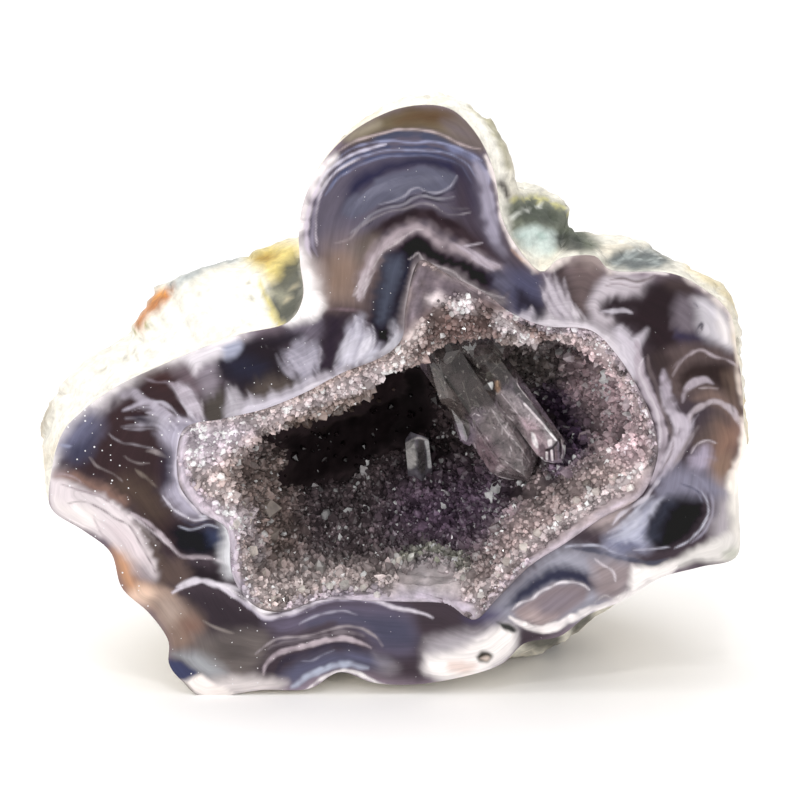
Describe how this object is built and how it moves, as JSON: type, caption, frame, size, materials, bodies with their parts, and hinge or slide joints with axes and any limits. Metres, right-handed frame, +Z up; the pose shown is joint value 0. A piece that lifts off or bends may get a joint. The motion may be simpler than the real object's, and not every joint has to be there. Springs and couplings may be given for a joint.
{
  "type": "agate geode half",
  "caption": "Half of an agate geode, cut once: banded wall with a natural rind, a hollow lined with small quartz crystals and large clear crystals in it.",
  "frame": {"origin": "on the surface that the stone stands on, under the middle of its box", "axes": "-Y out of the cut face, +X to the right of someone who looks at the cut face, +Z up"},
  "size_m": [0.0946, 0.042, 0.0817],
  "materials": {
    "banded_agate": "agate, polished on the cut with bands of navy, brown and lilac-white; outside, a dull cream rind with ochre and dark green stains",
    "quartz_druse": "sparkling crust of small grey-beige quartz crystals, violet-brown in its depth",
    "clear_quartz": "clear quartz with a faint lilac tint and sharp flat faces"
  },
  "bodies": {
    "root": {"agate_shell": "banded_agate", "crystal_crust": "quartz_druse", "clear_quartz_cluster": "clear_quartz", "small_clear_quartz": "clear_quartz"}
  },
  "joints": []
}
